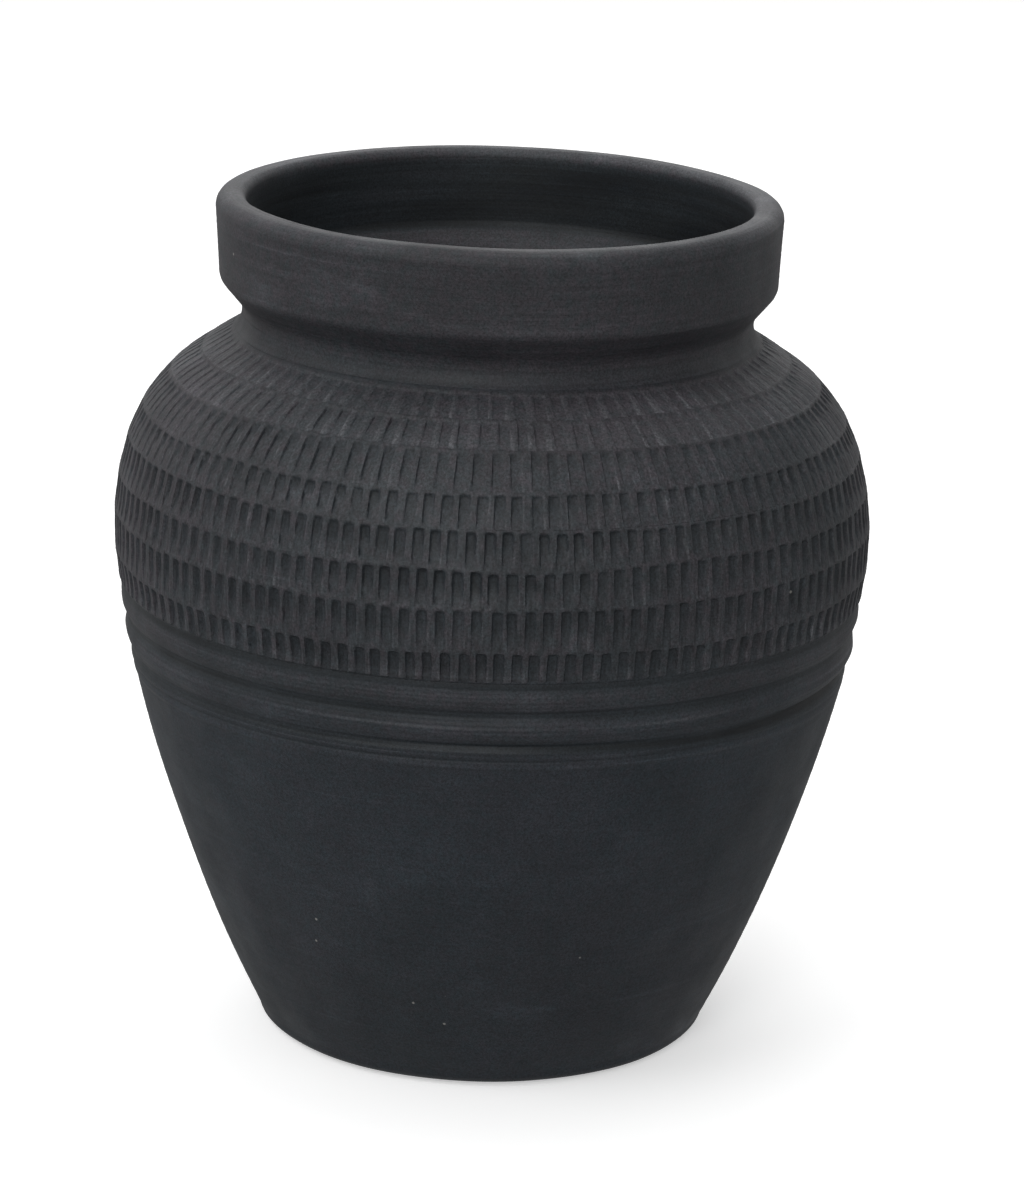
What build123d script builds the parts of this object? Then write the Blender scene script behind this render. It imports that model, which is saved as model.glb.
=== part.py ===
from build123d import *

import os
from math import cos, hypot, radians, sin, sqrt

# Large black clay storage pot, built by hand from luted sections, in millimetres.
#
# The pot stands on its foot with its axis on +Z and the origin at the centre of the resting face.
# Every section is a ring of clay turned about the axis, except the flat floor disc. The sections
# meet face to face on sloping lute joints, as a potter bevels, scores and slips the edges.

# Driving dimensions
HEIGHT = 429.0
BELLY_RADIUS = 190.7
BELLY_Z = 261.0
FOOT_RADIUS = 115.3
THROAT_RADIUS = 127.7
COLLAR_RADIUS = 141.6
MOUTH_RADIUS = 126.0
WALL = 11.5
FLOOR = 13.0

# Foot and lower wall
FOOT_Z = 6.8
FOOT_FLAT_RADIUS = 104.4
FLOOR_RADIUS = 97.0
LOWER_ARC = 900.0
LOWER_ARC_Z = 401.7

# Belt of rolled bands below the stamped field, listed as the heights of its grooves
BELT_FOOT_Z = 194.6
BELT_BEAD_Z = 199.5
BELT_GROOVE_Z = 216.5
BELT_TOP_Z = 232.0
GROOVE_DEPTH = 0.7
ROLL_BULGE = 1.0
BEAD_BULGE = 0.5

# Belly and shoulder arcs, which are tangent to each other, then a straight cone
BELLY_ARC = 145.7
BELLY_ARC_END = 17.0
SHOULDER_ARC = 78.5
SHOULDER_ARC_END = 55.5
BAND_TOP_Z = 307.5

# Throat groove and the collar above it
THROAT_FILLET = 12.0
THROAT_Z = 368.8
NECK_FOOT_ANGLE = 222.0
UNDERSIDE_ANGLE = 50.0
COLLAR_FOOT_RADIUS = 139.4
COLLAR_FOOT_FILLET = 8.0
LIP_OUTER_FILLET = 7.0
LIP_INNER_FILLET = 4.5
COLLAR_CREASE_FILLET = 7.0

# Lute joints: how far each seam climbs between the outer and the inner skin
SEAM_RISE = 6.0
SEAM_REACH = 40.0


def on_circle(centre, radius, angle):
    """Point of a circle in the (radius, height) half-plane, at an angle in degrees."""
    return (centre[0] + radius * cos(radians(angle)), centre[1] + radius * sin(radians(angle)))


def meeting(point_a, angle_a, point_b, angle_b):
    """Where two lines in the half-plane meet, each given by a point and a direction in degrees."""
    ax, az = cos(radians(angle_a)), sin(radians(angle_a))
    bx, bz = cos(radians(angle_b)), sin(radians(angle_b))
    dx, dz = point_b[0] - point_a[0], point_b[1] - point_a[1]
    along = (dx * bz - dz * bx) / (ax * bz - az * bx)
    return (point_a[0] + along * ax, point_a[1] + along * az)


def lower_radius(z, inset=0.0):
    """Radius of the lower wall's long arc at a height, less an inset measured square to the wall."""
    centre = FOOT_RADIUS - sqrt(LOWER_ARC**2 - (LOWER_ARC_Z - FOOT_Z) ** 2)
    return centre + sqrt((LOWER_ARC - inset) ** 2 - (LOWER_ARC_Z - z) ** 2)


def belly_radius(z, inset=0.0):
    """Radius of the belly arc at a height, less an inset measured square to the wall."""
    centre = BELLY_RADIUS - BELLY_ARC
    return centre + sqrt((BELLY_ARC - inset) ** 2 - (z - BELLY_Z) ** 2)


def belt_radius(z):
    """Radius of the belt's grooves: a straight slope between the wall and the belly, cut in a little."""
    share = (z - BELT_FOOT_Z) / (BELT_TOP_Z - BELT_FOOT_Z)
    foot, top = lower_radius(BELT_FOOT_Z), belly_radius(BELT_TOP_Z)
    return foot + share * (top - foot) - GROOVE_DEPTH


# Centres and tangent points shared by the outer skin, the inner skin and the seams
BELLY_CENTRE = (BELLY_RADIUS - BELLY_ARC, BELLY_Z)
BELLY_END = on_circle(BELLY_CENTRE, BELLY_ARC, BELLY_ARC_END)
SHOULDER_CENTRE = on_circle(BELLY_END, SHOULDER_ARC, BELLY_ARC_END + 180)
CONE_ANGLE = SHOULDER_ARC_END + 90
THROAT_CENTRE = (THROAT_RADIUS + THROAT_FILLET, THROAT_Z)


def shoulder_radius(z):
    """Radius of the shoulder arc at a height."""
    return SHOULDER_CENTRE[0] + sqrt(SHOULDER_ARC**2 - (z - SHOULDER_CENTRE[1]) ** 2)


def wall_skin(inset):
    """Belly, shoulder, cone and throat of one skin, as points in order up the wall."""
    return {
        "belt_top": (belly_radius(BELT_TOP_Z, inset), BELT_TOP_Z),
        "belly": on_circle(BELLY_CENTRE, BELLY_ARC - inset, 0),
        "belly_end": on_circle(BELLY_CENTRE, BELLY_ARC - inset, BELLY_ARC_END),
        "shoulder_mid": on_circle(
            SHOULDER_CENTRE, SHOULDER_ARC - inset, (BELLY_ARC_END + SHOULDER_ARC_END) / 2
        ),
        "shoulder_end": on_circle(SHOULDER_CENTRE, SHOULDER_ARC - inset, SHOULDER_ARC_END),
        "throat_foot": on_circle(THROAT_CENTRE, THROAT_FILLET + inset, CONE_ANGLE + 90),
        "throat": on_circle(THROAT_CENTRE, THROAT_FILLET + inset, 180),
        "throat_top": on_circle(THROAT_CENTRE, THROAT_FILLET + inset, UNDERSIDE_ANGLE + 90),
    }


def outer_skin():
    """Edges of the outer outline, from the axis on the resting face to the crown of the lip."""
    skin = wall_skin(0)
    belt = [(belt_radius(z), z) for z in (BELT_BEAD_Z, BELT_GROOVE_Z, BELT_TOP_Z)]
    foot, belt_foot = (FOOT_RADIUS, FOOT_Z), (lower_radius(BELT_FOOT_Z), BELT_FOOT_Z)
    middle_z = (FOOT_Z + BELT_FOOT_Z) / 2
    underside_top = meeting(skin["throat_top"], UNDERSIDE_ANGLE, (COLLAR_FOOT_RADIUS, 0), 90)
    collar_top = (COLLAR_RADIUS, HEIGHT)
    Line((0, 0), (FOOT_FLAT_RADIUS, 0))
    TangentArc((FOOT_FLAT_RADIUS, 0), foot, tangent=(1, 0))
    ThreePointArc(foot, (lower_radius(middle_z), middle_z), belt_foot)
    SagittaArc(belt_foot, belt[0], -BEAD_BULGE)
    SagittaArc(belt[0], belt[1], -ROLL_BULGE)
    SagittaArc(belt[1], belt[2], -ROLL_BULGE)
    Line(belt[2], skin["belt_top"])
    ThreePointArc(skin["belt_top"], skin["belly"], skin["belly_end"])
    ThreePointArc(skin["belly_end"], skin["shoulder_mid"], skin["shoulder_end"])
    Line(skin["shoulder_end"], skin["throat_foot"])
    ThreePointArc(skin["throat_foot"], skin["throat"], skin["throat_top"])
    Line(skin["throat_top"], underside_top)
    Line(underside_top, collar_top)
    Line(collar_top, (MOUTH_RADIUS, HEIGHT))


def inner_skin():
    """Edges of the inner outline, from the crown of the lip down to the axis on the floor."""
    skin = wall_skin(WALL)
    crease = meeting(skin["throat_top"], UNDERSIDE_ANGLE, (MOUTH_RADIUS, 0), 90)
    belt_foot = (lower_radius(BELT_FOOT_Z, WALL), BELT_FOOT_Z)
    floor_edge = (lower_radius(FLOOR, WALL), FLOOR)
    middle_z = (FLOOR + BELT_FOOT_Z) / 2
    Line((MOUTH_RADIUS, HEIGHT), crease)
    Line(crease, skin["throat_top"])
    ThreePointArc(skin["throat_top"], skin["throat"], skin["throat_foot"])
    Line(skin["throat_foot"], skin["shoulder_end"])
    ThreePointArc(skin["shoulder_end"], skin["shoulder_mid"], skin["belly_end"])
    ThreePointArc(skin["belly_end"], skin["belly"], skin["belt_top"])
    Line(skin["belt_top"], belt_foot)
    ThreePointArc(belt_foot, (lower_radius(middle_z, WALL), middle_z), floor_edge)
    Line(floor_edge, (0, FLOOR))
    Line((0, FLOOR), (0, 0))


def corner_near(sketch, x, z):
    """The vertex of a sketch on the XZ plane that lies nearest to a point."""
    return min(sketch.vertices(), key=lambda v: hypot(v.X - x, v.Z - z))


def pot_section():
    """Half cross-section of the whole pot, with its lip, collar and floor corners rounded."""
    with BuildSketch(Plane.XZ) as section:
        with BuildLine():
            outer_skin()
            inner_skin()
        make_face()
    face = section.sketch
    crease = meeting(wall_skin(WALL)["throat_top"], UNDERSIDE_ANGLE, (MOUTH_RADIUS, 0), 90)
    foot = meeting(wall_skin(0)["throat_top"], UNDERSIDE_ANGLE, (COLLAR_FOOT_RADIUS, 0), 90)
    rounded = [
        (COLLAR_RADIUS, HEIGHT, LIP_OUTER_FILLET),
        (MOUTH_RADIUS, HEIGHT, LIP_INNER_FILLET),
        (*crease, COLLAR_CREASE_FILLET),
        (*foot, COLLAR_FOOT_FILLET),
        (lower_radius(FLOOR, WALL), FLOOR, FLOOR),
    ]
    for x, z, radius in rounded:
        face = fillet(corner_near(face, x, z), radius)
    return face


def seam_at(outer):
    """A lute joint's line through the wall: below the outer point outside it, and above it inside."""
    rise = SEAM_RISE / WALL
    return (
        (outer[0] + SEAM_REACH, outer[1] - SEAM_REACH * rise),
        (outer[0] - SEAM_REACH, outer[1] + SEAM_REACH * rise),
    )


def wall_seams():
    """The lute joints of the wall, in order from the lower wall up to the collar."""
    band_top = (shoulder_radius(BAND_TOP_Z), BAND_TOP_Z)
    return [
        seam_at((lower_radius(BELT_FOOT_Z), BELT_FOOT_Z)),
        seam_at((belt_radius(BELT_TOP_Z), BELT_TOP_Z)),
        seam_at(band_top),
        seam_at(on_circle(THROAT_CENTRE, THROAT_FILLET, NECK_FOOT_ANGLE)),
        seam_at(wall_skin(0)["throat"]),
    ]


def polygon_on_section(points):
    """A flat face in the plane of the cross-section."""
    with BuildSketch(Plane.XZ) as sketch:
        with BuildLine():
            Polyline(*points, close=True)
        make_face()
    return sketch.sketch


def ring_sections():
    """The clay sections as flat faces, cut from the whole cross-section along the lute joints."""
    names = ["lower_wall", "belt_ring", "belly_band", "shoulder_dome", "neck_ring", "rim_collar"]
    section = pot_section()
    floor_plug = polygon_on_section(
        [(0, 0), (FLOOR_RADIUS, 0), (FLOOR_RADIUS - FLOOR / 2, FLOOR), (0, FLOOR)]
    )
    faces = {"floor_disc": section & floor_plug}
    below = [(BELLY_RADIUS + SEAM_REACH, -FLOOR), (0, -FLOOR)]
    above = [(BELLY_RADIUS + SEAM_REACH, HEIGHT + FLOOR), (0, HEIGHT + FLOOR)]
    bounds = [below, *wall_seams(), above]
    for name, bottom, top in zip(names, bounds, bounds[1:]):
        band = polygon_on_section([bottom[0], top[0], top[1], bottom[1]])
        faces[name] = (section & band) - floor_plug
    return faces


os.makedirs("parts", exist_ok=True)
for node, face in ring_sections().items():
    export_step(revolve(face, Axis.Z), f"parts/{node}.step")
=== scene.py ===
"""Black clay storage pot: smoke-fired and unglazed, with a stamped shoulder and belly, rolled belt bands and a
tall collar. Shapes are worked out in millimetres in the half-plane (radius, height) and built in metres."""

import math
from collections import namedtuple

import bpy
import numpy as np
from mathutils import Matrix, Vector


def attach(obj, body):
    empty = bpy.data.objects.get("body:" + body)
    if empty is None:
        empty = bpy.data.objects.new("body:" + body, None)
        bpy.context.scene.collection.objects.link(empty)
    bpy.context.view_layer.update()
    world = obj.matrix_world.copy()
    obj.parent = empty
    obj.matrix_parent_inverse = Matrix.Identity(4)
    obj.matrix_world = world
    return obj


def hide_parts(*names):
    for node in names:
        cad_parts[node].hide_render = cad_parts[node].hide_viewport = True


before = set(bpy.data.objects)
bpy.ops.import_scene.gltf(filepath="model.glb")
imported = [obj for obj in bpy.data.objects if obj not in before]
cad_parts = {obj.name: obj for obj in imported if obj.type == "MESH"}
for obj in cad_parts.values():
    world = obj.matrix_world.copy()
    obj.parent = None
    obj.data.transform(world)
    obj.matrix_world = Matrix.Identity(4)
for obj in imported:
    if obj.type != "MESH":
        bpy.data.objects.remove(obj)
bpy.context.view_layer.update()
MM = 0.001
FULL_TURN = 2 * math.pi
ANYWHERE = 6.283  # end of the range that random places around the pot are drawn from
COLUMNS = 600
TURNS = np.linspace(0, FULL_TURN, COLUMNS, endpoint=False)
SHARP_ANGLE = math.radians(62)

# The pot's outline, as its solids have it but for a tighter fillet at the collar's foot
HEIGHT = 429.0
BELLY_RADIUS, BELLY_Z, BELLY_ARC, BELLY_ARC_END = 190.7, 261.0, 145.7, 17.0
SHOULDER_ARC, SHOULDER_ARC_END = 78.5, 55.5
FOOT_RADIUS, FOOT_Z, FOOT_FLAT_RADIUS, FLOOR_RADIUS = 115.3, 6.8, 104.4, 97.0
LOWER_ARC, LOWER_ARC_Z = 900.0, 401.7
BELT_FOOT_Z, BELT_BEAD_Z, BELT_GROOVE_Z, BELT_TOP_Z = 194.6, 199.5, 216.5, 232.0
GROOVE_DEPTH, ROLL_BULGE, BEAD_BULGE = 0.7, 1.0, 0.5
THROAT_RADIUS, THROAT_FILLET, THROAT_Z, NECK_FOOT_ANGLE = 127.7, 12.0, 368.8, 222.0
UNDERSIDE_ANGLE, COLLAR_FOOT_RADIUS, COLLAR_RADIUS, MOUTH_RADIUS = 50.0, 139.4, 141.6, 126.0
COLLAR_FOOT_FILLET, LIP_OUTER_FILLET, LIP_INNER_FILLET, CREASE_FILLET = 6.5, 7.0, 4.5, 7.0
WALL, FLOOR, SEAM_RISE = 11.5, 13.0, 6.0
BAND_SEAM_Z = 307.5

# Kinds of unevenness, as waves() takes them: seed, number of waves, most of them around the pot, and how fast
# they turn with the second coordinate
LEAN, DENTS, SETTLING = (21, 7, 4, 0.011), (22, 9, 11, 0.03), (23, 5, 5, 0.0)
FINGER_PHASE, FINGER_DENTS = (31, 4, 3, 0.01), (32, 9, 9, 0.06)
WALL_FLATS, WALL_PHASE = (41, 14, 16, 0.05), (42, 5, 4, 0.01)
ROLL_DENTS, ROLL_PHASE, ROLL_SWAY = (45, 10, 9, 0.08), (46, 4, 3, 0.02), (47, 6, 5, 0.0)
NECK_DENTS, BELT_PALE_PATCHES = (48, 8, 12, 0.1), (49, 10, 18, 0.05)
COLLAR_DENTS, COLLAR_PHASE = (52, 10, 10, 0.05), (53, 4, 3, 0.01)
LIP_PALE_PATCHES, MOUTH_SOOT_AND_SHADE = (54, 12, 14, 0.05), (55, 6, 5, 0.5)
ROW_WANDER, FIELD_FOOT_WANDER, STAMP_DEPTH_DRIFT = (8, 9, 0.0), (60, 6, 7, 0.0), (5, 6, 0.0)
ROW_WANDER_SEED, STAMP_SEED, DEPTH_DRIFT_SEED = 50, 400, 70


# Curves --------------------------------------------------------------------------------------------------------
def on_circle(centre, radius, degrees):
    """The point of a circle at an angle from the outward direction."""
    return (
        centre[0] + radius * math.cos(math.radians(degrees)),
        centre[1] + radius * math.sin(math.radians(degrees)),
    )


def arc(centre, radius, start, end, step):
    """Points of an arc, both ends included, about step apart."""
    count = max(2, math.ceil(abs(math.radians(end - start)) * radius / step))
    return [on_circle(centre, radius, start + (end - start) * i / count) for i in range(count + 1)]


def line(a, b, step):
    """Points of a straight run, both ends included, at most step apart."""
    count = max(1, math.ceil(math.dist(a, b) / step))
    return [(a[0] + (b[0] - a[0]) * i / count, a[1] + (b[1] - a[1]) * i / count) for i in range(count + 1)]


def bulge(a, b, sag, step):
    """Points of a shallow arc from a to b that stands sag out of its chord, to the right of a to b."""
    length = math.dist(a, b)
    count = max(4, math.ceil(length / step))
    out = ((b[1] - a[1]) / length, (a[0] - b[0]) / length)
    points = []
    for i in range(count + 1):
        t = i / count
        lift = sag * 4 * t * (1 - t)
        points.append((a[0] + (b[0] - a[0]) * t + out[0] * lift, a[1] + (b[1] - a[1]) * t + out[1] * lift))
    return points


def rounded(before, corner, after, radius, step=0.9):
    """Points of the fillet at a corner between two straight runs."""
    to_a = np.subtract(before, corner) / math.dist(before, corner)
    to_b = np.subtract(after, corner) / math.dist(after, corner)
    half = math.acos(np.clip(to_a @ to_b, -1, 1)) / 2
    middle = (to_a + to_b) / np.linalg.norm(to_a + to_b)
    centre = np.array(corner) + middle * radius / math.sin(half)
    reach = radius / math.tan(half)
    start, end = np.array(corner) + to_a * reach - centre, np.array(corner) + to_b * reach - centre
    turn_a, turn_b = math.atan2(start[1], start[0]), math.atan2(end[1], end[0])
    while turn_b - turn_a > math.pi:
        turn_b -= FULL_TURN
    while turn_b - turn_a < -math.pi:
        turn_b += FULL_TURN
    return arc(centre, radius, math.degrees(turn_a), math.degrees(turn_b), step)


def joined(*runs):
    """One list of points from runs that follow each other, without repeated points."""
    points = []
    for run in runs:
        for p in run:
            if not points or math.dist(points[-1], p) > 0.05:
                points.append((float(p[0]), float(p[1])))
    return points


def meeting_at_radius(point, degrees, radius):
    """Where a slanted line through a point reaches a radius."""
    return (radius, point[1] + (radius - point[0]) * math.tan(math.radians(degrees)))


def fade(x, start, end):
    """0 at start, 1 at end, smooth between."""
    t = np.clip((x - start) / (end - start), 0, 1)
    return t * t * (3 - 2 * t)


def hump(x, at, width):
    """1 at a value, falling to 0 over a width on each side."""
    return np.exp(-(((x - at) / width) ** 2))


def angle_from(turn, centre):
    """Angle from a centre, at most half a turn either way."""
    return np.angle(np.exp(1j * (turn - centre)))


def lobe(turn, centre, width):
    """1 on one side of the pot, falling to 0 around it."""
    return hump(angle_from(turn, centre), 0, width)


def waves(turn, along, seed, count, highest, fineness):
    """Smooth unevenness that closes on itself around the pot, from -1 to 1 or so."""
    pick = np.random.default_rng(seed)
    total = np.zeros(np.broadcast(turn, along).shape)
    for _ in range(count):
        around = pick.integers(1, highest + 1)
        height, twist = pick.normal(), pick.normal() * fineness * along
        total = total + height * np.cos(around * turn + twist + pick.uniform(0, ANYWHERE))
    return total / math.sqrt(count)


# Outline -------------------------------------------------------------------------------------------------------
def lower_radius(z, inset=0.0):
    """Radius of the wall under the belt at a height, on the outer skin or inset from it."""
    centre = FOOT_RADIUS - math.sqrt(LOWER_ARC**2 - (LOWER_ARC_Z - FOOT_Z) ** 2)
    return centre + math.sqrt((LOWER_ARC - inset) ** 2 - (LOWER_ARC_Z - z) ** 2)


def belly_radius(z, inset=0.0):
    """Radius of the belly at a height, on the outer skin or inset from it."""
    return BELLY_RADIUS - BELLY_ARC + math.sqrt((BELLY_ARC - inset) ** 2 - (z - BELLY_Z) ** 2)


def belt_point(z):
    """The belt's outline at one of the heights where its rolls meet."""
    share = (z - BELT_FOOT_Z) / (BELT_TOP_Z - BELT_FOOT_Z)
    return ((1 - share) * lower_radius(BELT_FOOT_Z) + share * belly_radius(BELT_TOP_Z) - GROOVE_DEPTH, z)


BELLY_CENTRE = (BELLY_RADIUS - BELLY_ARC, BELLY_Z)
BELLY_END = on_circle(BELLY_CENTRE, BELLY_ARC, BELLY_ARC_END)
SHOULDER_CENTRE = on_circle(BELLY_END, SHOULDER_ARC, BELLY_ARC_END + 180)
THROAT_CENTRE = (THROAT_RADIUS + THROAT_FILLET, THROAT_Z)
CONE_TURN = SHOULDER_ARC_END + 180


def body_run(inset, step):
    """Belly, shoulder and cone of one skin, from the belt's top up to the throat."""
    foot = math.degrees(math.asin((BELT_TOP_Z - BELLY_Z) / (BELLY_ARC - inset)))
    return joined(
        arc(BELLY_CENTRE, BELLY_ARC - inset, foot, BELLY_ARC_END, step),
        arc(SHOULDER_CENTRE, SHOULDER_ARC - inset, BELLY_ARC_END, SHOULDER_ARC_END, step),
        line(
            on_circle(SHOULDER_CENTRE, SHOULDER_ARC - inset, SHOULDER_ARC_END),
            on_circle(THROAT_CENTRE, THROAT_FILLET + inset, CONE_TURN),
            step,
        ),
        arc(THROAT_CENTRE, THROAT_FILLET + inset, CONE_TURN, NECK_FOOT_ANGLE, step),
    )


class Skin:
    """A run of the outline that can be read at any length along it."""

    REACH = 0.6  # half the length over which a direction is measured

    def __init__(self, points):
        self.p = np.array(points)
        self.s = np.concatenate([[0], np.cumsum(np.linalg.norm(np.diff(self.p, axis=0), axis=1))])

    def at(self, s):
        return np.interp(s, self.s, self.p[:, 0]), np.interp(s, self.s, self.p[:, 1])

    def normal(self, s):
        """The outward normal, with the solid on the left of the run as it climbs."""
        (r0, z0), (r1, z1) = self.at(s - self.REACH), self.at(s + self.REACH)
        length = np.hypot(r1 - r0, z1 - z0)
        return (z1 - z0) / length, -(r1 - r0) / length

    def s_of_z(self, z):
        return np.interp(z, self.p[:, 1], self.s)

    def at_z(self, z):
        return self.at(self.s_of_z(z))

    def s_near(self, point):
        """Length along the run to the point of it that is nearest to the one given."""
        return self.s[int(np.argmin(np.hypot(self.p[:, 0] - point[0], self.p[:, 1] - point[1])))]


# Shells --------------------------------------------------------------------------------------------------------
def placed(r, turn, z):
    """Points in metres, with the hand-built pot's slight lean and dents, the same for every section so that seams
    stay shut."""
    up = np.clip(z / HEIGHT, 0, 1)
    rise = up * up * (3 - 2 * up)
    r = r + (0.55 * waves(turn, z, *LEAN) * np.clip(z / 40, 0, 1) + 0.18 * waves(turn, z, *DENTS))
    z = z + rise * (-0.9 * np.cos(turn) + 0.35 * waves(turn, 0 * z, *SETTLING))
    return np.stack([r * np.cos(turn), r * np.sin(turn), z], axis=-1).reshape(-1, 3) * MM


class Shell:
    """A closed ring of clay under construction: rows of points around the axis and the faces between them."""

    def __init__(self):
        self.points, self.faces, self.rings, self.tone, self.count = [], [], [], [], 0

    def ring(self, r, turn, z, tone=0.0):
        """Adds one row of points. tone is above 0 on worn edges and painted highlights, and below 0 in hollows,
        with soot and painted shade.
        """
        r, turn, z = np.broadcast_arrays(*(np.asarray(value, float) for value in (r, turn, z)))
        self.points.append(placed(r, turn, z))
        self.tone.append(np.broadcast_to(np.asarray(tone, float), turn.shape).copy())
        self.rings.append((np.arange(self.count, self.count + len(turn)), turn))
        self.count += len(turn)

    def between(self, low, high):
        """Faces from one row to the next: quads where their points line up, and triangles where they don't."""
        (a, turn_a), (b, turn_b) = low, high
        if len(a) == len(b) and np.allclose(turn_a, turn_b, atol=0.3 / len(a) + 0.012):
            n = len(a)
            self.faces += [(a[i], a[(i + 1) % n], b[(i + 1) % n], b[i]) for i in range(n)]
            return
        i = j = 0
        while i < len(a) or j < len(b):
            next_a = turn_a[(i + 1) % len(a)] + FULL_TURN * ((i + 1) // len(a))
            next_b = turn_b[(j + 1) % len(b)] + FULL_TURN * ((j + 1) // len(b))
            if j >= len(b) or (i < len(a) and next_a <= next_b):
                self.faces.append((a[i % len(a)], a[(i + 1) % len(a)], b[j % len(b)]))
                i += 1
            else:
                self.faces.append((a[i % len(a)], b[(j + 1) % len(b)], b[j % len(b)]))
                j += 1

    def join_rows(self):
        for low, high in zip(self.rings, self.rings[1:]):
            self.between(low, high)

    def close(self):
        """Closes a ring of clay: the last row meets the first."""
        self.join_rows()
        self.between(self.rings[-1], self.rings[0])

    def cap(self):
        """Closes a disc of clay: one face over each end row."""
        self.join_rows()
        self.faces.append(tuple(self.rings[0][0][::-1]))
        self.faces.append(tuple(self.rings[-1][0]))

    def mesh(self, name, top_down):
        mesh = bpy.data.meshes.new(name)
        faces = [tuple(int(v) for v in face) for face in self.faces]
        mesh.from_pydata(np.concatenate(self.points).tolist(), [], faces)
        mesh.attributes.new("tone", "FLOAT", "POINT").data.foreach_set("value", np.concatenate(self.tone))
        mesh.validate()
        if top_down:
            mesh.flip_normals()
        mesh.shade_smooth()
        mesh.set_sharp_from_angle(angle=SHARP_ANGLE)
        return mesh


def piece(name, shell, node, top_down=False):
    """A finished piece. top_down says that the shell's outer rows were added from the top, which turns its faces
    inside out until they are flipped."""
    made = bpy.data.objects.new(name, shell.mesh(name, top_down))
    bpy.context.collection.objects.link(made)
    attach(made, "root")
    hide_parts(node)
    return made


def run_rings(shell, points, relief, tone):
    """Adds a row for each point of a run, moved along its normal by relief(turn, length along the run, height)."""
    skin = Skin(points)
    margin = skin.REACH + 0.01
    for s in skin.s:
        r, z = skin.at(s)
        normal_r, normal_z = skin.normal(np.clip(s, margin, skin.s[-1] - margin))
        lift = relief(TURNS, s, z)
        shell.ring(r + normal_r * lift, TURNS, z + normal_z * lift, tone(TURNS, s, z))


# Inside, from the mouth down: darkest just under the neck, with soot and painted shade, and paler at the bottom,
# where ash settles
INNER_TONE, INNER_DEEP_TONE = -0.95, -0.25
# The throat under the collar is a little darker: painted shade
NECK_TONE = -0.25


def inner_run(shell, points):
    """Rows for a stretch of the inner skin, with finger marks and coil joints above the floor."""
    for r, z in points:
        fingers = np.sin(z / 4.6 + 0.8 * waves(TURNS, z, *FINGER_PHASE))
        lift = (0.35 * fingers + 0.35 * waves(TURNS, z, *FINGER_DENTS)) * fade(z, 20, 40)
        tone = INNER_DEEP_TONE + (INNER_TONE - INNER_DEEP_TONE) * fade(z, 300, 345)
        shell.ring(r + lift, TURNS, z, tone)


# Stamped field -------------------------------------------------------------------------------------------------
# Rows of stamped cells, from the neck down: height of the row's top edge, cells around, depth of the pocket,
# how far down the row the pocket runs, depth of the groove beside it, how far the row steps in, and how dark
# the soot and painted shade in the pockets are
Row = namedtuple("Row", "top_z cells pocket_depth pocket_run groove_depth step_in soot")
ROWS = [
    Row(358.8, 98, 0.45, 0.60, 0.50, 0.30, 0.20),
    Row(349.2, 108, 0.60, 0.34, 0.95, 0.35, 0.18),
    Row(337.6, 121, 1.15, 0.42, 1.10, 0.25, 0.52),
    Row(321.0, 131, 1.50, 0.60, 1.15, 0.15, 0.68),
    Row(305.2, 137, 1.75, 0.88, 1.05, 0.08, 0.72),
    Row(287.2, 138, 1.80, 0.94, 1.05, 0.08, 0.68),
    Row(268.6, 141, 1.85, 0.94, 1.05, 0.08, 0.64),
    Row(247.4, 141, 1.95, 1.35, 1.05, 0.08, 0.62),
]
RUBBED_ROWS = (0, 1)  # fine and shallow, with their ribs rubbed pale
BOLD_ROWS_FROM = 3
DOME_ROWS, BAND_ROWS = range(0, 4), range(4, 8)
FIELD_FOOT_Z = 233.9
BODY = Skin(body_run(0.0, 0.8))
ROW_S = [float(BODY.s_of_z(row.top_z)) for row in ROWS] + [float(BODY.s_of_z(FIELD_FOOT_Z))]
SAG_TURN, SAG_WIDTH, ROW_SAG, FIELD_FOOT_SAG = -1.85, 0.45, 1.1, 0.7

# Across one cell, from the sharp left edge of the pocket to the rib that parts it from the next cell: where the
# columns of points stand, how deep the pocket and the groove are there, the pocket's rounded top row by row,
# where the rib's edges are rubbed, and where soot and painted shade lie, darkest by the pocket's left edge
ACROSS = np.array([-0.10, -0.012, 0.050, 0.12, 0.23, 0.36, 0.48, 0.575, 0.64, 0.77])
POCKET = np.array([0.0, 0.0, 0.90, 1.0, 0.97, 0.90, 0.78, 0.52, 0.0, 0.0])
GROOVE = np.array([0.0, 0.0, 1.0, 0.62, 0.26, 0.12, 0.06, 0.03, 0.0, 0.0])
TOP_CURVES = np.array(
    [
        [0.0, 0.0, 0.20, 0.58, 0.74, 0.74, 0.62, 0.26, 0.0, 0.0],
        [0.0, 0.0, 0.66, 0.92, 0.97, 0.97, 0.92, 0.70, 0.0, 0.0],
        [0.0, 0.0, 0.92, 1.0, 1.0, 1.0, 1.0, 0.92, 0.0, 0.0],
    ]
)
RIB_EDGE = np.array([0.35, 1.0, 0.0, 0.0, 0.0, 0.0, 0.0, 0.0, 0.9, 0.3])
SHADE = np.array([0.0, 0.08, 0.92, 1.0, 0.95, 0.85, 0.72, 0.52, 0.0, 0.0])
DARKEST = SHADE > 0.91
RIB = ACROSS > 0.6
RIB_LEFT_EDGE = ACROSS == 0.64
LEFT_HALF = ACROSS < 0.3

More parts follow.
